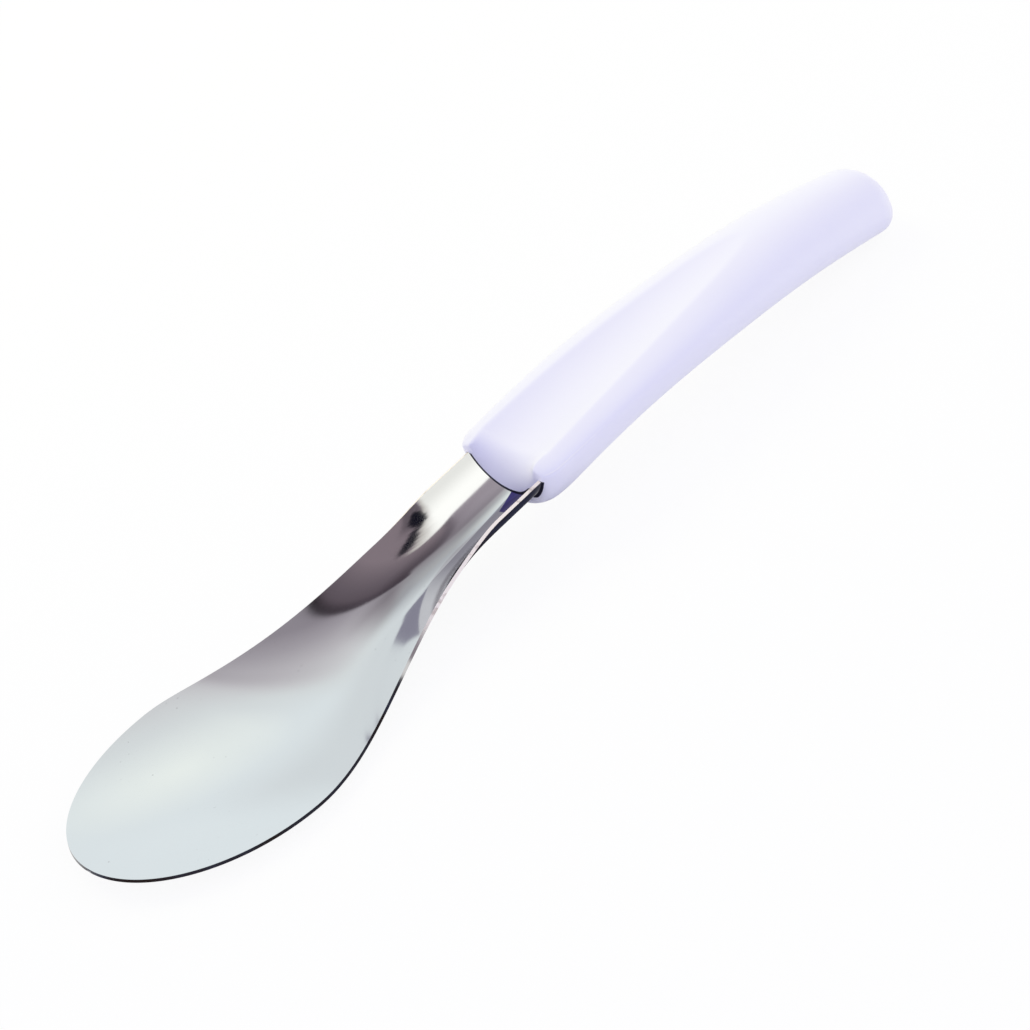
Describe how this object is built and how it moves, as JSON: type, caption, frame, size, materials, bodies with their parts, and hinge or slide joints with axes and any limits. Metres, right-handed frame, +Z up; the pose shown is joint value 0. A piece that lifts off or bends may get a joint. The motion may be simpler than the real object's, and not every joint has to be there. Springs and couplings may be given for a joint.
{
  "type": "ice cream spatula",
  "caption": "Ice cream spatula: a pressed steel sheet with a wide dished blade and a channelled neck, held in a moulded plastic handle with a thumb hollow.",
  "frame": {"origin": "middle of the overall box in plan, on the table that the spatula lies on", "axes": "+X from the blade's tip to the handle's butt, +Y across the blade, +Z up, with the hollow side of the blade and the thumb hollow facing up"},
  "size_m": [0.2608, 0.0592, 0.0241],
  "materials": {
    "steel": "polished stainless steel sheet",
    "handle_plastic": "smooth white moulded plastic"
  },
  "bodies": {
    "root": {"blade": "steel", "handle": "handle_plastic"}
  },
  "joints": []
}
